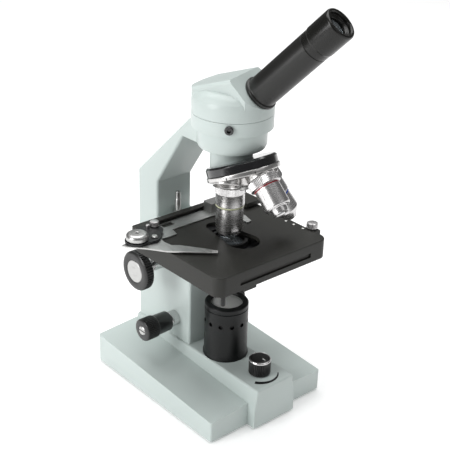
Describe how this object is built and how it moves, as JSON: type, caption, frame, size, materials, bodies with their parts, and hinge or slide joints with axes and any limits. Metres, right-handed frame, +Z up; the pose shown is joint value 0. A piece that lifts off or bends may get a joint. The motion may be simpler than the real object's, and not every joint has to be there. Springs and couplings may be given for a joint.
{
  "type": "microscope",
  "caption": "Monocular student microscope with built-in lamp, four-hole nosepiece, rack focusing, mechanical stage and inclined eyepiece tube.",
  "frame": {"origin": "on the table, under the middle of the whole object's box", "axes": "+Z up, +X to the right, the user's side is -Y"},
  "size_m": [0.1588, 0.2108, 0.3627],
  "materials": {
    "mint_casting": "satin",
    "black_paint": "satin",
    "stage_black": "matt",
    "head_mint": "satin",
    "tube_black": "satin",
    "eye_black": "gloss",
    "knob_black": "satin",
    "dimmer_black": "satin",
    "chrome": "polished",
    "turned_chrome": "polished",
    "brushed": "brushed",
    "silver_disc": "satin",
    "zinc": "satin",
    "steel_plate": "satin",
    "lens_glass": "clear",
    "frosted_glass": "frosted",
    "rubber": "matt",
    "gland_black": "satin",
    "ceramic": "matt",
    "band_yellow": "gloss",
    "band_red": "gloss",
    "band_blue": "gloss",
    "bronze": "satin"
  },
  "bodies": {
    "stand": {"base_casting": "mint_casting", "base_plate": "black_paint", "rubber_feet": "rubber", "cover_screws": "zinc", "arm_bolts": "zinc", "power_gland": "gland_black", "potentiometer": "zinc", "arm_casting": "mint_casting", "head_lock_screw": "knob_black", "stop_rod": "zinc", "nosepiece_mount": "black_paint", "nosepiece_pivot": "zinc", "lamp_house": "black_paint", "lamp_cap": "black_paint", "lamp_glass": "frosted_glass", "bulb_socket": "ceramic", "bulb": "frosted_glass", "fine_bushes": "turned_chrome"},
    "head": {"head_housing": "head_mint", "prism": "lens_glass", "eyepiece_tube": "tube_black"},
    "eyepiece": {"eyepiece_body": "eye_black", "eye_lens": "lens_glass", "field_lens": "lens_glass"},
    "nosepiece": {"nosepiece_turret": "turned_chrome", "objective_middle_barrel": "turned_chrome", "objective_low_barrel": "turned_chrome", "objective_high_barrel": "turned_chrome", "objective_middle_band": "band_yellow", "objective_low_band": "band_red", "objective_high_band": "band_blue", "objective_lenses": "lens_glass"},
    "dimmer": {"dimmer_knob": "dimmer_black", "dimmer_trim": "chrome"},
    "fine_drive": {"fine_shaft": "turned_chrome", "fine_knob_left": "knob_black", "fine_knob_right": "knob_black", "fine_knob_screws": "silver_disc"},
    "focus_slide": {"focus_block": "bronze"},
    "coarse_drive": {"coarse_shaft": "turned_chrome", "coarse_knob_left": "knob_black", "coarse_knob_right": "knob_black", "coarse_caps": "silver_disc"},
    "stage": {"focus_carriage": "black_paint", "focus_rack": "bronze", "stage_plate": "stage_black", "stage_screws": "zinc", "stage_edge_screws": "zinc", "condenser_mount": "black_paint", "condenser_lens": "lens_glass"},
    "iris": {"iris_lever": "black_paint"},
    "thumb_nut": {"stage_thumb_nut": "zinc"},
    "stage_y": {"mechanical_stage_rail": "stage_black"},
    "stage_x": {"mechanical_stage_bracket": "black_paint", "slide_holder": "steel_plate", "holder_block": "bronze", "finger_screw": "zinc"},
    "drive_knob": {"stage_drive_knob": "silver_disc"},
    "clamp_knob": {"holder_clamp_knob": "zinc"},
    "finger": {"slide_finger": "brushed"}
  },
  "joints": [
    {"name": "head_turn", "type": "hinge", "parent": "stand", "child": "head", "pos_m": [0.00985, -0.01083, 0.268], "axis": [0, 0, 1], "continuous": true},
    {"name": "eyepiece_pull", "type": "slide", "parent": "head", "child": "eyepiece", "axis": [0.2154, -0.663, 0.7169], "range_m": [0, 0.045]},
    {"name": "nosepiece_turn", "type": "hinge", "parent": "stand", "child": "nosepiece", "pos_m": [0.00985, -0.02746, 0.2176], "axis": [0, 0.4067, 0.9135], "continuous": true},
    {"name": "dimmer_turn", "type": "hinge", "parent": "stand", "child": "dimmer", "pos_m": [0.00985, -0.05653, 0.045], "axis": [0, 0, 1], "range_deg": [-150, 150]},
    {"name": "fine_slide", "type": "slide", "parent": "stand", "child": "focus_slide", "axis": [0, 0, 1], "range_m": [-0.001, 0.0006]},
    {"name": "fine_turn", "type": "hinge", "parent": "stand", "child": "fine_drive", "pos_m": [0.00985, 0.03717, 0.0592], "axis": [1, 0, 0], "range_deg": [-180, 108.4]},
    {"name": "coarse_slide", "type": "slide", "parent": "focus_slide", "child": "stage", "axis": [0, 0, 1], "range_m": [-0.02, 0]},
    {"name": "coarse_turn", "type": "hinge", "parent": "focus_slide", "child": "coarse_drive", "pos_m": [0.00985, 0.04897, 0.1141], "axis": [1, 0, 0], "range_deg": [-140.7, 1]},
    {"name": "iris_turn", "type": "hinge", "parent": "stage", "child": "iris", "pos_m": [0.00985, -0.01083, 0.1316], "axis": [0, 0, 1], "range_deg": [-40, 40]},
    {"name": "thumb_nut_turn", "type": "hinge", "parent": "stage", "child": "thumb_nut", "pos_m": [0.07445, -0.04703, 0.159], "axis": [0, 0, 1], "continuous": true},
    {"name": "stage_y_slide", "type": "slide", "parent": "stage", "child": "stage_y", "axis": [0, 1, 0], "range_m": [-0.018, 0]},
    {"name": "stage_x_slide", "type": "slide", "parent": "stage_y", "child": "stage_x", "axis": [1, 0, 0], "range_m": [-0.012, 0.018]},
    {"name": "drive_knob_turn", "type": "hinge", "parent": "stage_x", "child": "drive_knob", "pos_m": [-0.06485, 0.01997, 0.164], "axis": [0, 0, 1], "range_deg": [-83.5, 124.8]},
    {"name": "clamp_knob_turn", "type": "hinge", "parent": "stage_x", "child": "clamp_knob", "pos_m": [-0.03775, 0.03177, 0.164], "axis": [0, 0, 1], "continuous": true},
    {"name": "finger_swing", "type": "hinge", "parent": "stage_x", "child": "finger", "pos_m": [-0.05055, 0.01497, 0.1596], "axis": [0, 0, 1], "range_deg": [-25, 0], "stiffness_Nm_per_rad": 0.05, "springref_deg": 17.19}
  ],
  "couplings": [
    {"joint": "fine_turn", "follows": "fine_slide", "rad_per_m": 3125},
    {"joint": "coarse_turn", "follows": "coarse_slide", "rad_per_m": 121.95},
    {"joint": "drive_knob_turn", "follows": "stage_x_slide", "rad_per_m": 120}
  ]
}
